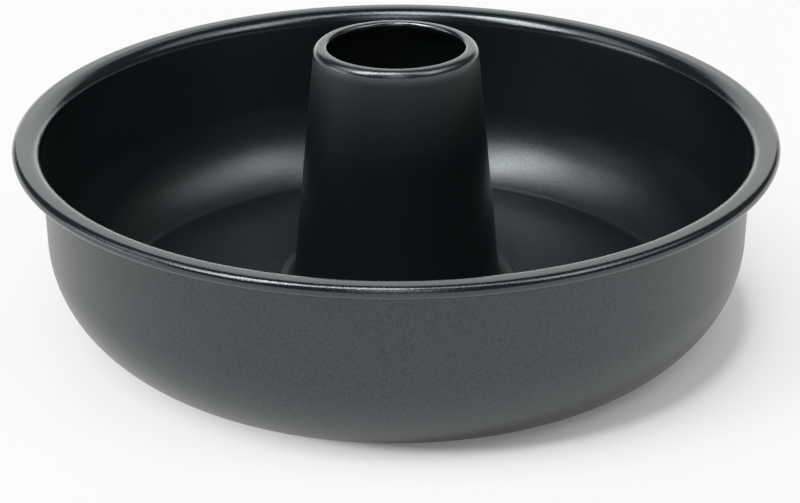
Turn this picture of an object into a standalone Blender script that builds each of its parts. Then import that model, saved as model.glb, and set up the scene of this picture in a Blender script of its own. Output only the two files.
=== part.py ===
"""Savarin mould: a drawn pan with a rolled rim, a tapered centre tube and the wire inside the rim.

Metres, +Z up. The origin is the centre of the flat base, on the surface that the mould stands on.
"""
import math

import bmesh
import bpy
from mathutils import Matrix

MM = 0.001

# Sheet metal and clearances
PAN_SHEET = 0.7 * MM
TUBE_SHEET = 0.7 * MM
CLEARANCE = 0.3 * MM
FOLD_GAP = 0.2 * MM

# Pan: rim, flange and wall, radii measured to the outside of the pan
RIM_RADIUS = 130.0 * MM
PAN_HEIGHT = 68.0 * MM
CURL_RADIUS = 2.2 * MM
CURL_END_ANGLE = math.radians(-190)
WALL_RADIUS = 121.3 * MM
FLANGE_HEIGHT = 67.4 * MM
FLANGE_BEND = 5.6 * MM

# Pan: the big corner curve, the flat base and the fillet between them
CORNER_RADIUS = 37.6 * MM
BASE_RADIUS = 101.9 * MM
BASE_FILLET = 2.7 * MM

# Pan: the raised boss that carries the tube
BOSS_TOP = 6.3 * MM
BOSS_RADIUS = 43.6 * MM
BOSS_FOOT_RADIUS = 46.6 * MM
BOSS_BEND = 1.5 * MM
HOLE_RADIUS = 38.4 * MM

# Tube: lip on top, cone and foot
TUBE_HEIGHT = 95.1 * MM
LIP_RADIUS = 28.3 * MM
LIP_SHOULDER = 2.4 * MM
LIP_ROLL = 1.0 * MM
LIP_DROP = 1.6 * MM
BORE_RADIUS = 23.9 * MM
FOOT_RADIUS = 36.4 * MM
FOOT_FILLET = 3.0 * MM
BEAD_RADIUS = 42.3 * MM
FLARE_RADIUS = 41.2 * MM
FLARE_BEND = 0.4 * MM

# Rim wire
WIRE_GAP = 1.5 * MM

# How finely round shapes are cut into flat faces
PAN_STEPS = 64
TUBE_STEPS = 40
WIRE_SIDES = 8
BEND_FLATNESS = 0.08 * MM

# A bend that would run further round than this has in fact not turned at all
ALMOST_A_TURN = math.radians(350)

# Points of an outline nearer than the first count as one, and corners of a mesh nearer than the second
SAME_POINT = 0.01 * MM
SAME_CORNER = 0.001 * MM

UP = math.radians(90)
TO_AXIS = math.radians(180)
COUNTER_CLOCKWISE = 1
CLOCKWISE = -1


def clear_scene():
    for item in list(bpy.data.objects):
        bpy.data.objects.remove(item, do_unlink=True)


def unit(angle):
    """Unit vector (outward, up) at an angle from the outward direction."""
    return math.cos(angle), math.sin(angle)


def tangent_facing(first, second, turn):
    """Direction that the flat stretch from one bend to the next faces."""
    (r1, z1, bend1), (r2, z2, bend2) = first, second
    run = math.hypot(r2 - r1, z2 - z1)
    along = math.atan2(z2 - z1, r2 - r1)
    lean = max(-1.0, min(1.0, (bend1 - bend2) / run))
    return along - turn * math.acos(lean)


def near(angle, reference):
    """The same angle, within half a turn of the reference."""
    return reference + math.remainder(angle - reference, 2 * math.pi)


def bend_step(radius):
    """Angle of one flat stretch of a bend, so that it stays as near to the true arc as BEND_FLATNESS."""
    return 2 * math.acos(1 - BEND_FLATNESS / radius)


def sheet_section(bends, start_facing, end_facing, thickness, turn):
    """Closed outline (radius, height) of a bent sheet.

    A bend is (centre radius, centre height, bend radius) of the seen face. The bend radius is positive
    where that face bulges, negative where it is hollow, and zero where the sheet begins or ends.
    """
    seen_face = []
    back_face = []
    facing = start_facing
    for index, (centre_r, centre_z, bend) in enumerate(bends):
        if index + 1 < len(bends):
            leaving = near(tangent_facing(bends[index], bends[index + 1], turn), facing)
        else:
            leaving = near(end_facing, facing)
        if bend:
            # A bulge turns with the path and a hollow against it, however far round the bend goes.
            sense = turn if bend > 0 else -turn
            sweep = sense * ((leaving - facing) * sense % (2 * math.pi))
            if abs(sweep) > ALMOST_A_TURN:
                sweep = 0.0
            steps = math.ceil(abs(sweep) / bend_step(max(abs(bend), abs(bend - thickness))))
        else:
            sweep = leaving - facing
            steps = 0
        for step in range(steps + 1):
            angle = facing + (sweep * step / steps if steps else 0.0)
            out, up = unit(angle)
            seen_face.append((centre_r + bend * out, centre_z + bend * up))
            back_face.append((centre_r + (bend - thickness) * out, centre_z + (bend - thickness) * up))
        facing = facing + sweep
    return seen_face + back_face[::-1]


def without_repeats(outline):
    """The outline without points that lie on the point before them."""
    kept = []
    for point in outline:
        if not kept or math.dist(point, kept[-1]) > SAME_POINT:
            kept.append(point)
    return kept


def signed_area(outline):
    pairs = zip(outline, outline[1:] + outline[:1])
    return sum(r1 * z2 - r2 * z1 for (r1, z1), (r2, z2) in pairs) / 2


def turned_solid(name, outline, steps, material):
    """Solid made by turning a closed outline about the Z axis."""
    outline = without_repeats(outline)
    if signed_area(outline) > 0:
        outline = outline[::-1]
    mesh = bpy.data.meshes.new(name)
    points = [(radius, 0.0, height) for radius, height in outline]
    edges = [(index, (index + 1) % len(points)) for index in range(len(points))]
    mesh.from_pydata(points, edges, [])
    solid = bpy.data.objects.new(name, mesh)
    bpy.context.scene.collection.objects.link(solid)
    screw = solid.modifiers.new("turn about the axis", "SCREW")
    screw.axis = "Z"
    screw.angle = 2 * math.pi
    screw.steps = steps
    screw.render_steps = steps
    screw.use_merge_vertices = True
    screw.merge_threshold = SAME_CORNER
    screw.use_smooth_shade = True
    solid.data.materials.append(material)
    return solid


def make_material(name, color, metallic, roughness):
    material = bpy.data.materials.new(name)
    material.use_nodes = True
    shader = material.node_tree.nodes["Principled BSDF"]
    shader.inputs["Base Color"].default_value = (*color, 1.0)
    shader.inputs["Metallic"].default_value = metallic
    shader.inputs["Roughness"].default_value = roughness
    return material


def curl_centre():
    return RIM_RADIUS - CURL_RADIUS, PAN_HEIGHT - CURL_RADIUS


def corner_centre():
    """Centre of the corner curve, which is level with where the upright wall begins to turn in."""
    radius = WALL_RADIUS - CORNER_RADIUS
    reach = CORNER_RADIUS - BASE_FILLET
    height = BASE_FILLET + math.sqrt(reach ** 2 - (BASE_RADIUS - radius) ** 2)
    return radius, height


def pan_section():
    """Pan, from the hidden end of the curl to the edge of the centre hole, seen from the cooking side."""
    inner_wall = WALL_RADIUS - PAN_SHEET
    bends = [
        (*curl_centre(), CURL_RADIUS),
        (inner_wall + FLANGE_BEND, FLANGE_HEIGHT - FLANGE_BEND, FLANGE_BEND),
        (*corner_centre(), PAN_SHEET - CORNER_RADIUS),
        (BASE_RADIUS, BASE_FILLET, PAN_SHEET - BASE_FILLET),
        (BOSS_FOOT_RADIUS, PAN_SHEET + BOSS_BEND, -BOSS_BEND),
        (BOSS_RADIUS - BOSS_BEND, BOSS_TOP - BOSS_BEND, BOSS_BEND),
        (HOLE_RADIUS, BOSS_TOP, 0.0),
    ]
    return sheet_section(bends, CURL_END_ANGLE, UP, PAN_SHEET, COUNTER_CLOCKWISE)


def tube_section():
    """Tube, from the edge inside the lip to the end of the flare under the boss, seen from outside."""
    bead_low = BOSS_TOP + CLEARANCE
    bead_bend = TUBE_SHEET + FOLD_GAP / 2
    bead_top = bead_low + 2 * bead_bend
    neck = HOLE_RADIUS - CLEARANCE
    flare_top = BOSS_TOP - PAN_SHEET - CLEARANCE
    bends = [
        (BORE_RADIUS, TUBE_HEIGHT - LIP_DROP, 0.0),
        (BORE_RADIUS + LIP_ROLL, TUBE_HEIGHT - LIP_ROLL, LIP_ROLL),
        (LIP_RADIUS - LIP_SHOULDER, TUBE_HEIGHT - LIP_SHOULDER, LIP_SHOULDER),
        (FOOT_RADIUS + FOOT_FILLET, bead_top + FOOT_FILLET, -FOOT_FILLET),
        (BEAD_RADIUS - bead_bend, bead_low + bead_bend, bead_bend),
        (neck + FLARE_BEND, bead_low - FLARE_BEND, -FLARE_BEND),
        (neck + FLARE_BEND, flare_top + FLARE_BEND, -FLARE_BEND),
        (FLARE_RADIUS, flare_top, 0.0),
    ]
    return sheet_section(bends, TO_AXIS, UP, TUBE_SHEET, CLOCKWISE)


def make_rim_wire(material):
    """Wire ring inside the curl, a round bar bent almost full circle with its two ends butted."""
    ring_radius, height = curl_centre()
    wire_radius = CURL_RADIUS - PAN_SHEET - CLEARANCE
    gap_angle = WIRE_GAP / ring_radius
    build = bmesh.new()
    bmesh.ops.create_circle(build, segments=WIRE_SIDES, radius=wire_radius)
    bmesh.ops.rotate(build, verts=build.verts, cent=(0, 0, 0), matrix=quarter_turn())
    bmesh.ops.translate(build, verts=build.verts, vec=(ring_radius, 0.0, height))
    bmesh.ops.spin(
        build,
        geom=list(build.verts) + list(build.edges),
        cent=(0, 0, 0),
        axis=(0, 0, 1),
        angle=2 * math.pi - gap_angle,
        steps=PAN_STEPS,
    )
    bmesh.ops.holes_fill(build, edges=[edge for edge in build.edges if edge.is_boundary], sides=WIRE_SIDES)
    bmesh.ops.recalc_face_normals(build, faces=build.faces)
    mesh = bpy.data.meshes.new("rim_wire")
    build.to_mesh(mesh)
    build.free()
    mesh.shade_smooth()
    wire = bpy.data.objects.new("rim_wire", mesh)
    bpy.context.scene.collection.objects.link(wire)
    wire.data.materials.append(material)
    return wire


def quarter_turn():
    """Turn that stands a flat circle upright in the XZ plane."""
    return Matrix.Rotation(math.radians(90), 3, "X")


def build_mould():
    clear_scene()
    coating = make_material("dark non-stick coating", color=(0.045, 0.050, 0.055), metallic=0.35, roughness=0.42)
    wire_steel = make_material("bright steel wire", color=(0.55, 0.56, 0.57), metallic=1.0, roughness=0.35)
    turned_solid("pan_body", pan_section(), PAN_STEPS, coating)
    turned_solid("center_tube", tube_section(), TUBE_STEPS, coating)
    make_rim_wire(wire_steel)


build_mould()
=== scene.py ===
"""Savarin mould in dark non-stick steel, standing in a plain pale studio.

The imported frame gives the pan, the centre tube and the wire inside the rolled rim. Each is made again
here, with finer bends and rounder turns, and gets its finish. Metres, +Z up.
"""
import math
import bpy
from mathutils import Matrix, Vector


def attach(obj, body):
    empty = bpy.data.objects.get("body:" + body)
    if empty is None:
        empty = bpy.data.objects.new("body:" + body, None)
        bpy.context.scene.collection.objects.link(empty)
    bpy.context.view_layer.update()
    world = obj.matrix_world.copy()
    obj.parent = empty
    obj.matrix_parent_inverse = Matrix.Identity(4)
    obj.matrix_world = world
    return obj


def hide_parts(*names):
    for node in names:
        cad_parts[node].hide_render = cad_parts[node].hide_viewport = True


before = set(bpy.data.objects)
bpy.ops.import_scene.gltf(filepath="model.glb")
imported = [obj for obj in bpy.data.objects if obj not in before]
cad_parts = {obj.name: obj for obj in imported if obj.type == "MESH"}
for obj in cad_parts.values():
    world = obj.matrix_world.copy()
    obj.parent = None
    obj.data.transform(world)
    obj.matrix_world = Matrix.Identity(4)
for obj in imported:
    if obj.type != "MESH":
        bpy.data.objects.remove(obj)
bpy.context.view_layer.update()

MM = 0.001

# Sheet metal and clearances
PAN_SHEET = 0.7 * MM
TUBE_SHEET = 0.7 * MM
CLEARANCE = 0.3 * MM
FOLD_GAP = 0.2 * MM

# Pan: rim, flange and wall, radii measured to the outside of the pan
RIM_RADIUS = 129.94 * MM
PAN_HEIGHT = 67.2 * MM
CURL_RADIUS = 2.2 * MM
CURL_END_ANGLE = math.radians(-190)
WALL_RADIUS = 120.8 * MM
FLANGE_HEIGHT = 67.2 * MM
FLANGE_BEND = 5.6 * MM

# Pan: the big corner curve, the flat base and the fillet between them
CORNER_RADIUS = 37.6 * MM
BASE_RADIUS = 100.3 * MM
BASE_FILLET = 7.0 * MM

# Pan: the raised boss that carries the tube
BOSS_TOP = 6.3 * MM
BOSS_RADIUS = 43.6 * MM
BOSS_FOOT_RADIUS = 46.6 * MM
BOSS_BEND = 1.5 * MM
HOLE_RADIUS = 38.4 * MM

# Tube: lip on top, cone and foot
TUBE_HEIGHT = 94.4 * MM
LIP_RADIUS = 28.0 * MM
LIP_SHOULDER = 2.8 * MM
LIP_ROLL = 1.3 * MM
LIP_DROP = 2.3 * MM
BORE_RADIUS = 23.3 * MM
FOOT_RADIUS = 36.4 * MM
FOOT_FILLET = 3.0 * MM
BEAD_RADIUS = 42.3 * MM
FLARE_RADIUS = 41.2 * MM
FLARE_BEND = 0.4 * MM

# Wire inside the curl
WIRE_RADIUS = CURL_RADIUS - PAN_SHEET - CLEARANCE
WIRE_GAP = 1.5 * MM
WIRE_SIDES = 24

# How finely the pieces are turned
STEPS_ROUND = 288
BEND_FLATNESS = 0.006 * MM
LONGEST_STRETCH = 9.0 * MM
SAME_POINT = 0.001 * MM
SHARP_EDGE = math.radians(40)

# Ways that a face points, as angles from the outward direction, and the two ways round a section
UP = math.radians(90)
TO_AXIS = math.radians(180)
COUNTER_CLOCKWISE = 1
CLOCKWISE = -1

QUARTER_TURN = math.radians(90)
FULL_TURN = 2 * math.pi

# A bend that would run further round than this has in fact not turned at all
ALMOST_A_TURN = math.radians(350)

# Coating: its colours, what its roughness varies between, and the fineness of its grain and clouds
COATING_DARK = (0.0035, 0.0060, 0.0070, 1.0)
COATING_LIGHT = (0.0050, 0.0080, 0.0090, 1.0)
COATING_TINT = (0.90, 0.97, 1.0, 1.0)
COATING_SMOOTHEST = 0.27
COATING_ROUGHEST = 0.32
GRAINS_PER_METRE = 1900.0
GRAIN_DETAIL = 2.0
GRAIN_RAGGEDNESS = 0.6
GRAIN_DEPTH = 0.05 * MM
CLOUDS_PER_METRE = 22.0
CLOUD_DETAIL = 3.0

# Share that the grain has in how the roughness varies, while the clouds have the rest
GRAIN_IN_GLOSS = 0.5

# Specular level in the hollows and on the tips of the grain
SPARKLE_LOW = 0.72
SPARKLE_HIGH = 1.20

# Nearly all of a noise lies between these two values
NOISE_LOW = 0.3
NOISE_HIGH = 0.7

# Zones of the coating. The rim is all that lies further out and higher than its two limits.
# The lip comes in between its two heights, and the roll in its bore and the tube lie inside their radii.
RIM_ZONE_RADIUS = 119.8 * MM
RIM_ZONE_BOTTOM = 62.5 * MM
LIP_ZONE_BOTTOM = 89.0 * MM
LIP_ZONE_FULL = 92.6 * MM
BORE_ZONE_RADIUS = 24.8 * MM
TUBE_ZONE_RADIUS = 42.5 * MM

# Roughness and specular level of the coating in each zone, the later ones over the earlier ones
ZONE_FINISHES = (
    ("Tube", 0.36, 0.60),
    ("Lip", 0.22, 1.40),
    ("Bore roll", 0.07, 1.80),
    ("Rim", 0.12, 1.00),
)

# Wire steel: its shades, what its roughness varies between, and how fine the specks in both are
STEEL_DARK = (0.42, 0.43, 0.44, 1.0)
STEEL_LIGHT = (0.62, 0.63, 0.64, 1.0)
STEEL_SMOOTHEST = 0.25
STEEL_ROUGHEST = 0.45
STEEL_SPECKS_PER_METRE = 900.0
STEEL_SPECK_DETAIL = 2.0

WHITE = (1.0, 1.0, 1.0, 1.0)

# Floor: matt white, and the strength of the light with which it shines white itself
FLOOR_RADIUS = 4.0
FLOOR_CORNERS = 96
FLOOR_COLOUR = (0.87, 0.87, 0.87, 1.0)
FLOOR_ROUGHNESS = 0.6
FLOOR_SPECULAR = 0.2
FLOOR_WHITE_LIGHT = 0.965

# How much of the floor shines white itself, at distances from the middle of its ramp: little close to the
# mould, so that the floor there is darker, as painted shade on top of the real shadow. The middle sits to
# the right of the mould, so that this painted shade reaches further on the right.
FLOOR_PAINTED_SHADE_CENTRE = (17.0 * MM, 0.0, 0.0)
FLOOR_RAMP_START = 0.100
FLOOR_RAMP_END = 0.300
FLOOR_SHARES = (
    (0.025, 0.14), (0.05, 0.50), (0.09, 0.66), (0.17, 0.74), (0.30, 0.84), (0.50, 0.92), (1.0, 0.97)
)

# World: the white backdrop reaches up to the first height, and above the second lies the grey room.
# Both are heights of a direction one metre long.
BACKDROP_TOP = 0.0
ROOM_BOTTOM = 0.12
BACKDROP_LIGHT = 1.0
ROOM_LIGHT = 0.10

# Softboxes stand on a dome, this far from what they point at
LAMP_TARGET = Vector((0.0, 0.0, 0.05))
LAMP_DISTANCE = 2.0

# Camera where the photo was taken from, found from the circles of the rim, lip and base
CAMERA_PLACE = (1.25 * MM, -593.5 * MM, 299.33 * MM)
CAMERA_TURN = (math.radians(64.563), math.radians(0.122), math.radians(-0.051))
CAMERA_LENS = 83.29
CAMERA_SENSOR = 36.0
CAMERA_NEAREST = 0.01
CAMERA_FARTHEST = 100.0

# Kinds of socket that a node group has
VECTOR = "NodeSocketVector"
COLOUR = "NodeSocketColor"
NUMBER = "NodeSocketFloat"


# Sheet metal, bent and turned


def unit(angle):
    """Unit vector (outward, up) at an angle from the outward direction."""
    return math.cos(angle), math.sin(angle)


def tangent_facing(first, second, turn):
    """Direction that the flat stretch from one bend to the next faces."""
    (r1, z1, bend1), (r2, z2, bend2) = first, second
    run = math.hypot(r2 - r1, z2 - z1)
    along = math.atan2(z2 - z1, r2 - r1)
    lean = max(-1.0, min(1.0, (bend1 - bend2) / run))
    return along - turn * math.acos(lean)


def near(angle, reference):
    """The same angle, within half a turn of the reference."""
    return reference + math.remainder(angle - reference, FULL_TURN)


def bend_sweeps(bends, start_facing, end_facing, turn):
    """For each bend, the way the seen face points where it begins, and how far it turns."""
    sweeps = []
    facing = start_facing
    for index, (_, _, bend) in enumerate(bends):
        if index + 1 < len(bends):
            leaving = near(tangent_facing(bends[index], bends[index + 1], turn), facing)
        else:
            leaving = near(end_facing, facing)
        sweep = leaving - facing
        if bend:
            # A bulge turns with the path and a hollow against it, however far round the bend goes.
            sense = turn if bend > 0 else -turn
            sweep = sense * ((leaving - facing) * sense % FULL_TURN)
            if abs(sweep) > ALMOST_A_TURN:
                sweep = 0.0
        sweeps.append((facing, sweep))
        facing = facing + sweep
    return sweeps


def on_bend(bend, angle):
    """Point of the seen face, at the given way it points."""
    centre_r, centre_z, radius = bend
    out, up = unit(angle)
    return Vector((centre_r + radius * out, 0.0, centre_z + radius * up))


def open_as(name):
    """Name the new primitive, put its place into its mesh, and open it with every point selected."""
    piece = bpy.context.object
    piece.name = name
    piece.data.name = name
    bpy.ops.object.transform_apply(location=True, rotation=True, scale=True)
    bpy.ops.object.mode_set(mode="EDIT")
    bpy.ops.mesh.select_mode(type="VERT")
    bpy.ops.mesh.select_all(action="SELECT")
    return piece


def put_down_point(name, place):
    """Mesh of a single point, left open, from a small plane whose corners are merged."""
    bpy.ops.object.select_all(action="DESELECT")
    bpy.ops.mesh.primitive_plane_add(size=MM, location=place)
    sheet = open_as(name)
    bpy.ops.mesh.merge(type="CENTER")
    return sheet


def draw_stretch(start, end):
    """Extrude the last point along a flat stretch, in pieces of even length."""
    pieces = max(1, math.ceil((end - start).length / LONGEST_STRETCH))
    move = (end - start) / pieces
    for _ in range(pieces):
        bpy.ops.mesh.extrude_region_move(TRANSFORM_OT_translate={"value": move})


def draw_bend(bend, sweep):
    """Spin the last point round the centre of a bend, counter-clockwise where the sweep is positive."""
    centre_r, centre_z, radius = bend
    step = 2 * math.acos(1 - BEND_FLATNESS / abs(radius))
    bpy.ops.mesh.spin(
        steps=math.ceil(abs(sweep) / step),
        angle=abs(sweep),
        center=(centre_r, 0.0, centre_z),
        axis=(0.0, 1.0 if sweep > 0 else -1.0, 0.0),
    )


def turn_about_axis(angle):
    """Spin the whole of the open mesh about Z, and leave all of it selected."""
    bpy.ops.mesh.select_all(action="SELECT")
    bpy.ops.mesh.spin(steps=STEPS_ROUND, angle=angle, center=(0, 0, 0), axis=(0, 0, 1))
    bpy.ops.mesh.select_all(action="SELECT")


def turned_sheet(name, bends, start_facing, end_facing, thickness, turn, seen_from):
    """Bent sheet, drawn bend by bend in the XZ plane, turned about Z and given its thickness.

    A bend is (centre radius, centre height, bend radius) of the seen face. The bend radius is positive
    where that face bulges, negative where it is hollow, and zero where the sheet begins or ends.
    The seen face looks towards the point seen_from, and the thickness goes behind it.
    """
    sweeps = bend_sweeps(bends, start_facing, end_facing, turn)
    here = on_bend(bends[0], start_facing)
    sheet = put_down_point(name, here)
    for bend, (facing, sweep) in zip(bends, sweeps):
        arrives = on_bend(bend, facing)
        if (arrives - here).length > SAME_POINT:
            draw_stretch(here, arrives)
        if bend[2] and abs(sweep) > 0:
            draw_bend(bend, sweep)
        here = on_bend(bend, facing + sweep)
    turn_about_axis(FULL_TURN)
    bpy.ops.mesh.remove_doubles(threshold=SAME_POINT)
    bpy.ops.mesh.normals_make_consistent(inside=False)
    bpy.ops.object.mode_set(mode="OBJECT")
    if not looks_towards(sheet, seen_from):
        bpy.ops.object.mode_set(mode="EDIT")
        bpy.ops.mesh.select_all(action="SELECT")
        bpy.ops.mesh.flip_normals()
        bpy.ops.object.mode_set(mode="OBJECT")
    wall = sheet.modifiers.new("sheet thickness", "SOLIDIFY")
    wall.thickness = thickness
    wall.offset = -1.0
    wall.use_even_offset = True
    bpy.ops.object.modifier_apply(modifier=wall.name)
    bpy.ops.object.shade_smooth_by_angle(angle=SHARP_EDGE)
    return sheet


def looks_towards(sheet, place):
    """Whether the face nearest a place points to it."""
    nearest = min(sheet.data.polygons, key=lambda face: (face.center - place).length)
    return nearest.normal.dot(place - nearest.center) > 0


def curl_centre():
    """Centre (radius, height) of the curl at the rim."""
    return RIM_RADIUS - CURL_RADIUS, PAN_HEIGHT - CURL_RADIUS


def corner_centre():
    """Centre (radius, height) of the corner curve, level with where the upright wall begins to turn in."""
    radius = WALL_RADIUS - CORNER_RADIUS
    reach = CORNER_RADIUS - BASE_FILLET
    height = BASE_FILLET + math.sqrt(reach ** 2 - (BASE_RADIUS - radius) ** 2)
    return radius, height


def make_pan():
    """Pan, drawn from the hidden end of the curl to the edge of the centre hole."""
    inner_wall = WALL_RADIUS - PAN_SHEET
    bends = [
        (*curl_centre(), CURL_RADIUS),
        (inner_wall + FLANGE_BEND, FLANGE_HEIGHT - FLANGE_BEND, FLANGE_BEND),
        (*corner_centre(), PAN_SHEET - CORNER_RADIUS),
        (BASE_RADIUS, BASE_FILLET, PAN_SHEET - BASE_FILLET),
        (BOSS_FOOT_RADIUS, PAN_SHEET + BOSS_BEND, -BOSS_BEND),
        (BOSS_RADIUS - BOSS_BEND, BOSS_TOP - BOSS_BEND, BOSS_BEND),
        (HOLE_RADIUS, BOSS_TOP, 0.0),
    ]
    middle_of_trough = Vector(((BOSS_RADIUS + WALL_RADIUS) / 2, 0.0, PAN_HEIGHT / 2))
    return turned_sheet(
        "mould_pan", bends, CURL_END_ANGLE, UP, PAN_SHEET, COUNTER_CLOCKWISE, middle_of_trough
    )


def make_tube():
    """Tube, drawn from the edge inside the lip to the end of the flare under the boss."""
    bead_low = BOSS_TOP + CLEARANCE
    bead_bend = TUBE_SHEET + FOLD_GAP / 2
    bead_top = bead_low + 2 * bead_bend
    neck = HOLE_RADIUS - CLEARANCE
    flare_top = BOSS_TOP - PAN_SHEET - CLEARANCE
    bends = [
        (BORE_RADIUS, TUBE_HEIGHT - LIP_DROP, 0.0),
        (BORE_RADIUS + LIP_ROLL, TUBE_HEIGHT - LIP_ROLL, LIP_ROLL),
        (LIP_RADIUS - LIP_SHOULDER, TUBE_HEIGHT - LIP_SHOULDER, LIP_SHOULDER),
        (FOOT_RADIUS + FOOT_FILLET, bead_top + FOOT_FILLET, -FOOT_FILLET),
        (BEAD_RADIUS - bead_bend, bead_low + bead_bend, bead_bend),
        (neck + FLARE_BEND, bead_low - FLARE_BEND, -FLARE_BEND),
        (neck + FLARE_BEND, flare_top + FLARE_BEND, -FLARE_BEND),
        (FLARE_RADIUS, flare_top, 0.0),
    ]
    beside_tube = Vector((2 * FOOT_RADIUS, 0.0, TUBE_HEIGHT / 2))
    return turned_sheet("mould_tube", bends, TO_AXIS, UP, TUBE_SHEET, CLOCKWISE, beside_tube)


def make_wire():
    """Round wire inside the curl, bent almost full circle, with a small gap between its ends."""
    ring_radius, height = curl_centre()
    bpy.ops.object.select_all(action="DESELECT")
    bpy.ops.mesh.primitive_circle_add(
        vertices=WIRE_SIDES,
        radius=WIRE_RADIUS,
        fill_type="NGON",
        location=(ring_radius, 0.0, height),
        rotation=(QUARTER_TURN, 0.0, 0.0),
    )
    wire = open_as("mould_wire")
    turn_about_axis(FULL_TURN - WIRE_GAP / ring_radius)
    bpy.ops.mesh.normals_make_consistent(inside=False)
    bpy.ops.object.mode_set(mode="OBJECT")
    bpy.ops.object.shade_smooth_by_angle(angle=SHARP_EDGE)
    return wire


# Nodes, as the finishes and the studio use them. A tree is that of a material, a world or a group.


def feed(tree, socket, source):
    """Link a socket to another one, or set it to a plain value."""
    if isinstance(source, bpy.types.NodeSocket):
        tree.links.new(source, socket)
    else:
        socket.default_value = source


def add_math(tree, operation, first, second):
    """Number worked out from two others: their product, the greater one, or 1 where a comparison holds."""
    result = tree.nodes.new("ShaderNodeMath")
    result.operation = operation
    feed(tree, result.inputs[0], first)
    feed(tree, result.inputs[1], second)
    return result.outputs["Value"]


def add_range(tree, value, start, end, low=0.0, high=1.0, curve="LINEAR"):
    """Number that goes from low to high while a value goes from start to end."""
    change = tree.nodes.new("ShaderNodeMapRange")
    change.interpolation_type = curve
    feed(tree, change.inputs["Value"], value)
    feed(tree, change.inputs["From Min"], start)
    feed(tree, change.inputs["From Max"], end)
    feed(tree, change.inputs["To Min"], low)
    feed(tree, change.inputs["To Max"], high)
    return change.outputs["Result"]


def add_blend(tree, factor, first, second, kind="FLOAT"):
    """Mix of two numbers, or of two colours where the kind is RGBA."""
    blend = tree.nodes.new("ShaderNodeMix")
    blend.data_type = kind
    feed(tree, blend.inputs["Factor"], factor)
    feed(tree, blend.inputs["A"], first)
    feed(tree, blend.inputs["B"], second)
    return blend.outputs["Result"]


def add_noise(tree, place, per_metre, detail, raggedness=0.5):
    """Noise of about so many specks a metre."""
    noise = tree.nodes.new("ShaderNodeTexNoise")
    feed(tree, noise.inputs["Vector"], place)
    feed(tree, noise.inputs["Scale"], per_metre)
    feed(tree, noise.inputs["Detail"], detail)
    feed(tree, noise.inputs["Roughness"], raggedness)
    return noise.outputs["Fac"]


def add_length(tree, operation, place, other):
    """Length of a place's vector, once it is multiplied by another or has another taken from it."""
    step = tree.nodes.new("ShaderNodeVectorMath")
    step.operation = operation
    feed(tree, step.inputs[0], place)
    feed(tree, step.inputs[1], other)
    length = tree.nodes.new("ShaderNodeVectorMath")
    length.operation = "LENGTH"
    feed(tree, length.inputs[0], step.outputs["Vector"])
    return length.outputs["Value"]


def add_object_place(tree):
    """Place on the surface, in the coordinates of its own object."""
    return tree.nodes.new("ShaderNodeTexCoord").outputs["Object"]


def new_group(name, inputs, outputs):
    """Node group with named sockets, and its nodes for what it is given and for its result."""
    group = bpy.data.node_groups.new(name, "ShaderNodeTree")
    for way, sockets in (("INPUT", inputs), ("OUTPUT", outputs)):
        for socket, kind in sockets.items():
            group.interface.new_socket(name=socket, in_out=way, socket_type=kind)
    given = group.nodes.new("NodeGroupInput")
    result = group.nodes.new("NodeGroupOutput")
    return group, given.outputs, result.inputs


def put_in_group(tree, group, values):
    """Place a node group in a material, with a value or a link for each input named."""
    placed = tree.nodes.new("ShaderNodeGroup")
    placed.node_tree = group
    for name, value in values.items():
        feed(tree, placed.inputs[name], value)
    return placed.outputs


def new_material(name):
    """Material, its node tree and the inputs of its Principled shader."""
    material = bpy.data.materials.new(name)
    material.use_nodes = True
    return material, material.node_tree, material.node_tree.nodes["Principled BSDF"].inputs


# Finishes


def make_surface_group():
    """Surface of a baked-on coating: fine grain, and faint clouds of gloss and of colour."""
    group, given, result = new_group(
        "coating surface",
        {
            "Place": VECTOR,
            "Dark": COLOUR,
            "Light": COLOUR,
            "Smoothest": NUMBER,
            "Roughest": NUMBER,
            "Grains per metre": NUMBER,
            "Clouds per metre": NUMBER,
        },
        {"Colour": COLOUR, "Roughness": NUMBER, "Grain": NUMBER},
    )
    grain = add_noise(group, given["Place"], given["Grains per metre"], GRAIN_DETAIL, GRAIN_RAGGEDNESS)
    clouds = add_noise(group, given["Place"], given["Clouds per metre"], CLOUD_DETAIL)
    colour = add_blend(group, clouds, given["Dark"], given["Light"], "RGBA")
    gloss = add_blend(group, GRAIN_IN_GLOSS, clouds, grain)
    roughness = add_range(group, gloss, NOISE_LOW, NOISE_HIGH, given["Smoothest"], given["Roughest"])
    feed(group, result["Colour"], colour)
    feed(group, result["Roughness"], roughness)
    feed(group, result["Grain"], grain)
    return group


def make_zones_group():
    """Masks of the rim, the tube, its lip and the roll inside the lip, by height and radius."""
    group, given, result = new_group(
        "zones of the coating",
        {
            "Place": VECTOR,
            "Rim inside radius": NUMBER,
            "Rim underside": NUMBER,
            "Tube outside radius": NUMBER,
            "Lip begins": NUMBER,
            "Lip full": NUMBER,
            "Lip inside radius": NUMBER,
        },
        {"Rim": NUMBER, "Tube": NUMBER, "Lip": NUMBER, "Bore roll": NUMBER},
    )
    parts = group.nodes.new("ShaderNodeSeparateXYZ")
    feed(group, parts.inputs["Vector"], given["Place"])
    height = parts.outputs["Z"]
    without_height = (1.0, 1.0, 0.0)
    distance = add_length(group, "MULTIPLY", given["Place"], without_height)

    on_flange = add_math(group, "GREATER_THAN", distance, given["Rim inside radius"])
    on_top = add_math(group, "GREATER_THAN", height, given["Rim underside"])
    on_tube = add_math(group, "LESS_THAN", distance, given["Tube outside radius"])
    in_bore = add_math(group, "LESS_THAN", distance, given["Lip inside radius"])
    on_lip = add_range(group, height, given["Lip begins"], given["Lip full"], curve="SMOOTHSTEP")
    feed(group, result["Rim"], add_math(group, "MULTIPLY", on_flange, on_top))
    feed(group, result["Tube"], on_tube)
    feed(group, result["Lip"], on_lip)
    feed(group, result["Bore roll"], add_math(group, "MULTIPLY", on_lip, in_bore))
    return group


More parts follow.
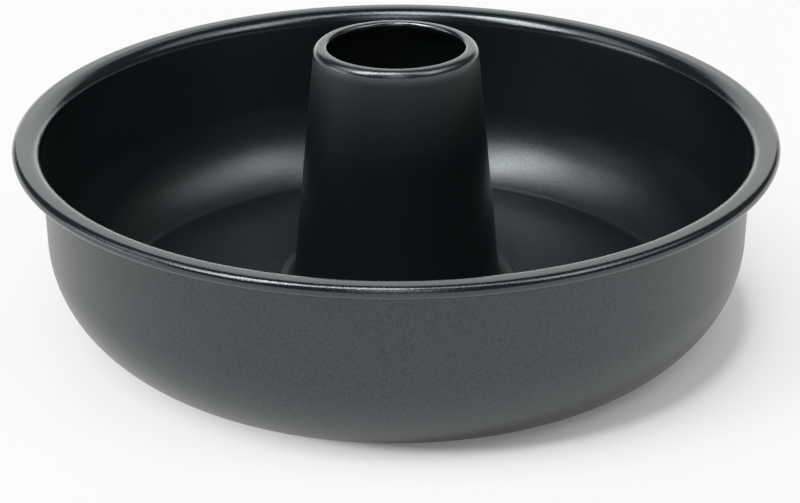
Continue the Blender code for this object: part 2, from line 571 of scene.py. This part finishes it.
def make_coating(surface_group, zones_group):
    """Dark satin non-stick coating, smoother on the rolled edges and duller on the tube."""
    material, tree, shader = new_material("dark non-stick coating")
    place = add_object_place(tree)
    surface = put_in_group(
        tree,
        surface_group,
        {
            "Place": place,
            "Dark": COATING_DARK,
            "Light": COATING_LIGHT,
            "Smoothest": COATING_SMOOTHEST,
            "Roughest": COATING_ROUGHEST,
            "Grains per metre": GRAINS_PER_METRE,
            "Clouds per metre": CLOUDS_PER_METRE,
        },
    )
    zones = put_in_group(
        tree,
        zones_group,
        {
            "Place": place,
            "Rim inside radius": RIM_ZONE_RADIUS,
            "Rim underside": RIM_ZONE_BOTTOM,
            "Tube outside radius": TUBE_ZONE_RADIUS,
            "Lip begins": LIP_ZONE_BOTTOM,
            "Lip full": LIP_ZONE_FULL,
            "Lip inside radius": BORE_ZONE_RADIUS,
        },
    )
    roughness = surface["Roughness"]
    specular = add_range(tree, surface["Grain"], NOISE_LOW, NOISE_HIGH, SPARKLE_LOW, SPARKLE_HIGH)
    for zone, zone_roughness, zone_specular in ZONE_FINISHES:
        roughness = add_blend(tree, zones[zone], roughness, zone_roughness)
        specular = add_blend(tree, zones[zone], specular, zone_specular)
    bump = tree.nodes.new("ShaderNodeBump")
    feed(tree, bump.inputs["Height"], surface["Grain"])
    feed(tree, bump.inputs["Distance"], GRAIN_DEPTH)
    feed(tree, shader["Base Color"], surface["Colour"])
    feed(tree, shader["Roughness"], roughness)
    feed(tree, shader["Specular IOR Level"], specular)
    feed(tree, shader["Specular Tint"], COATING_TINT)
    feed(tree, shader["Normal"], bump.outputs["Normal"])
    return material


def make_wire_steel():
    """Bare steel wire, with fine specks in its shade and its gloss."""
    material, tree, shader = new_material("drawn steel wire")
    specks = add_noise(tree, add_object_place(tree), STEEL_SPECKS_PER_METRE, STEEL_SPECK_DETAIL)
    shade = tree.nodes.new("ShaderNodeValToRGB")
    shade.color_ramp.elements[0].color = STEEL_DARK
    shade.color_ramp.elements[1].color = STEEL_LIGHT
    feed(tree, shade.inputs["Fac"], specks)
    feed(tree, shader["Base Color"], shade.outputs["Color"])
    feed(tree, shader["Roughness"], add_range(tree, specks, 0.0, 1.0, STEEL_SMOOTHEST, STEEL_ROUGHEST))
    feed(tree, shader["Metallic"], 1.0)
    return material


# Studio


def add_background_rays(tree):
    """1 for the rays that see the white background: camera, glossy and transmission rays."""
    rays = tree.nodes.new("ShaderNodeLightPath").outputs
    camera_or_glossy = add_math(tree, "MAXIMUM", rays["Is Camera Ray"], rays["Is Glossy Ray"])
    return add_math(tree, "MAXIMUM", camera_or_glossy, rays["Is Transmission Ray"])


def make_floor_group():
    """Share of the floor that shines white itself, by the distance from the middle of its ramp; where it
    is low, near the mould, the floor is darker as painted shade.
    """
    group, given, result = new_group("white share of the floor", {"Place": VECTOR}, {"Share": NUMBER})
    ramp = group.nodes.new("ShaderNodeValToRGB")
    stops = ramp.color_ramp.elements
    while len(stops) < len(FLOOR_SHARES):
        stops.new(1.0)
    for stop, (place, share) in zip(stops, FLOOR_SHARES):
        stop.position = place
        stop.color = (share, share, share, 1.0)
    # Distance from the middle of the painted shade, which sits to the right of the mould
    distance = add_length(group, "SUBTRACT", given["Place"], FLOOR_PAINTED_SHADE_CENTRE)
    feed(group, ramp.inputs["Fac"], add_range(group, distance, FLOOR_RAMP_START, FLOOR_RAMP_END))
    feed(group, result["Share"], ramp.outputs["Color"])
    return group


def make_floor():
    """Matt white floor, partly shining white itself, so that the shadow on it stays pale; it shines less
    close to the mould, which is painted shade.
    """
    bpy.ops.object.select_all(action="DESELECT")
    bpy.ops.mesh.primitive_circle_add(
        vertices=FLOOR_CORNERS, radius=FLOOR_RADIUS, fill_type="NGON", location=(0, 0, 0)
    )
    floor = bpy.context.object
    floor.name = "studio_floor"
    material, tree, shader = new_material("studio floor, matt white")
    feed(tree, shader["Base Color"], FLOOR_COLOUR)
    feed(tree, shader["Roughness"], FLOOR_ROUGHNESS)
    feed(tree, shader["Specular IOR Level"], FLOOR_SPECULAR)
    white = tree.nodes.new("ShaderNodeEmission")
    feed(tree, white.inputs["Color"], WHITE)
    feed(tree, white.inputs["Strength"], FLOOR_WHITE_LIGHT)
    by_distance = put_in_group(tree, make_floor_group(), {"Place": add_object_place(tree)})
    mix = tree.nodes.new("ShaderNodeMixShader")
    # Less white glow close to the mould and to its right: painted shade that deepens the real shadow there
    share = add_math(tree, "MULTIPLY", add_background_rays(tree), by_distance["Share"])
    feed(tree, mix.inputs["Fac"], share)
    feed(tree, mix.inputs[1], tree.nodes["Principled BSDF"].outputs["BSDF"])
    feed(tree, mix.inputs[2], white.outputs["Emission"])
    feed(tree, tree.nodes["Material Output"].inputs["Surface"], mix.outputs["Shader"])
    floor.data.materials.append(material)


def make_world():
    """Plain studio all round: a white backdrop low down that fades into a grey room above."""
    world = bpy.data.worlds.new("studio room")
    bpy.context.scene.world = world
    world.use_nodes = True
    tree = world.node_tree
    direction = tree.nodes.new("ShaderNodeTexCoord").outputs["Generated"]
    parts = tree.nodes.new("ShaderNodeSeparateXYZ")
    feed(tree, parts.inputs["Vector"], direction)
    height = parts.outputs["Z"]
    light = add_range(tree, height, BACKDROP_TOP, ROOM_BOTTOM, BACKDROP_LIGHT, ROOM_LIGHT, "SMOOTHSTEP")
    background = tree.nodes["Background"].inputs
    feed(tree, background["Color"], WHITE)
    feed(tree, background["Strength"], light)


def add_softbox(name, bearing, rise, width, height, brightness):
    """Softbox on a dome round the object, of a brightness at which a white card would be 1.

    In degrees, the bearing runs from the right-hand side round the back, and the rise up from the floor.
    """
    lamp = bpy.data.lights.new(name, "AREA")
    lamp.shape = "RECTANGLE"
    lamp.size = width
    lamp.size_y = height
    lamp.energy = math.pi * width * height * brightness
    softbox = bpy.data.objects.new(name, lamp)
    bpy.context.scene.collection.objects.link(softbox)
    out, up = unit(math.radians(rise))
    right, back = unit(math.radians(bearing))
    direction = Vector((out * right, out * back, up))
    softbox.location = LAMP_TARGET + LAMP_DISTANCE * direction
    softbox.rotation_euler = (-direction).to_track_quat("-Z", "Y").to_euler()


def make_camera():
    """Camera of the scene, without depth of field."""
    camera_data = bpy.data.cameras.new("photo camera")
    camera = bpy.data.objects.new("photo camera", camera_data)
    bpy.context.scene.collection.objects.link(camera)
    camera.location = CAMERA_PLACE
    camera.rotation_euler = CAMERA_TURN
    camera_data.lens = CAMERA_LENS
    camera_data.sensor_width = CAMERA_SENSOR
    camera_data.clip_start = CAMERA_NEAREST
    camera_data.clip_end = CAMERA_FARTHEST
    bpy.context.scene.camera = camera


coating = make_coating(make_surface_group(), make_zones_group())

pan = make_pan()
pan.data.materials.append(coating)
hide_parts("pan_body")
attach(pan, "root")

tube = make_tube()
tube.data.materials.append(coating)
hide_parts("center_tube")
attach(tube, "root")

wire = make_wire()
wire.data.materials.append(make_wire_steel())
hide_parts("rim_wire")
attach(wire, "root")

make_floor()
make_world()
add_softbox("low backdrop light", bearing=90, rise=6, width=2.60, height=0.35, brightness=1.5)
add_softbox("backdrop light", bearing=90, rise=25, width=2.20, height=0.85, brightness=1.15)
add_softbox("softbox behind", bearing=90, rise=47, width=1.20, height=0.50, brightness=1.0)
add_softbox("softbox overhead", bearing=254, rise=76, width=0.50, height=0.85, brightness=7.0)
add_softbox("softbox high in front", bearing=270, rise=46, width=0.60, height=0.70, brightness=2.0)
add_softbox("softbox in front", bearing=270, rise=20, width=0.80, height=0.50, brightness=0.8)
add_softbox("softbox front left", bearing=211, rise=47, width=0.70, height=0.85, brightness=7.1)
add_softbox("softbox top left", bearing=213, rise=65, width=0.50, height=0.55, brightness=10.5)
add_softbox("softbox front right", bearing=331, rise=48, width=0.70, height=0.85, brightness=3.2)
add_softbox("softbox top right", bearing=318, rise=70, width=0.45, height=0.50, brightness=3.6)
add_softbox("softbox left", bearing=181, rise=42, width=0.80, height=1.20, brightness=1.3)
add_softbox("softbox right", bearing=0, rise=46, width=0.80, height=0.90, brightness=1.1)
add_softbox("softbox low left", bearing=186, rise=9, width=1.20, height=0.50, brightness=2.0)
make_camera()

bpy.context.scene.view_settings.view_transform = "Standard"
